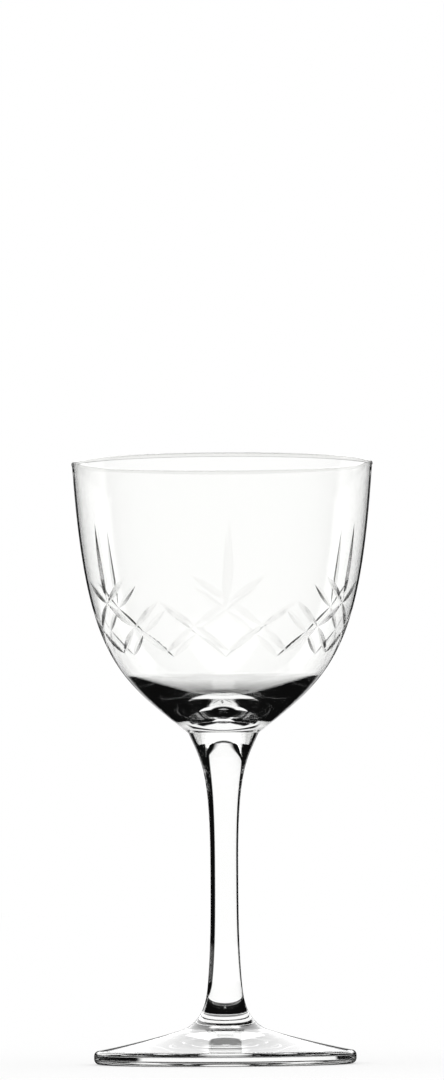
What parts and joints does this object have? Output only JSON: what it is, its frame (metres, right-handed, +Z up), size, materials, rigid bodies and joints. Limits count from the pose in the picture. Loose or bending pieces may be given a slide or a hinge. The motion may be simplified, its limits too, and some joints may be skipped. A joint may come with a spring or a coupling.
{
  "type": "nick and nora glass",
  "caption": "Stemmed cocktail glass with a deep tapering bowl cut with a crossed lattice and upright spears, a slim drawn stem and a round foot.",
  "frame": {"origin": "on the table, under the middle of the foot", "axes": "+Z up along the glass's own axis, from the foot to the rim; -Y is the side seen in the picture, with a spear of the cut pattern one degree to the right of it"},
  "size_m": [0.0746, 0.0746, 0.149],
  "materials": {
    "clear_glass": "polished"
  },
  "bodies": {
    "root": {"bowl": "clear_glass", "stem": "clear_glass", "foot": "clear_glass"}
  },
  "joints": []
}
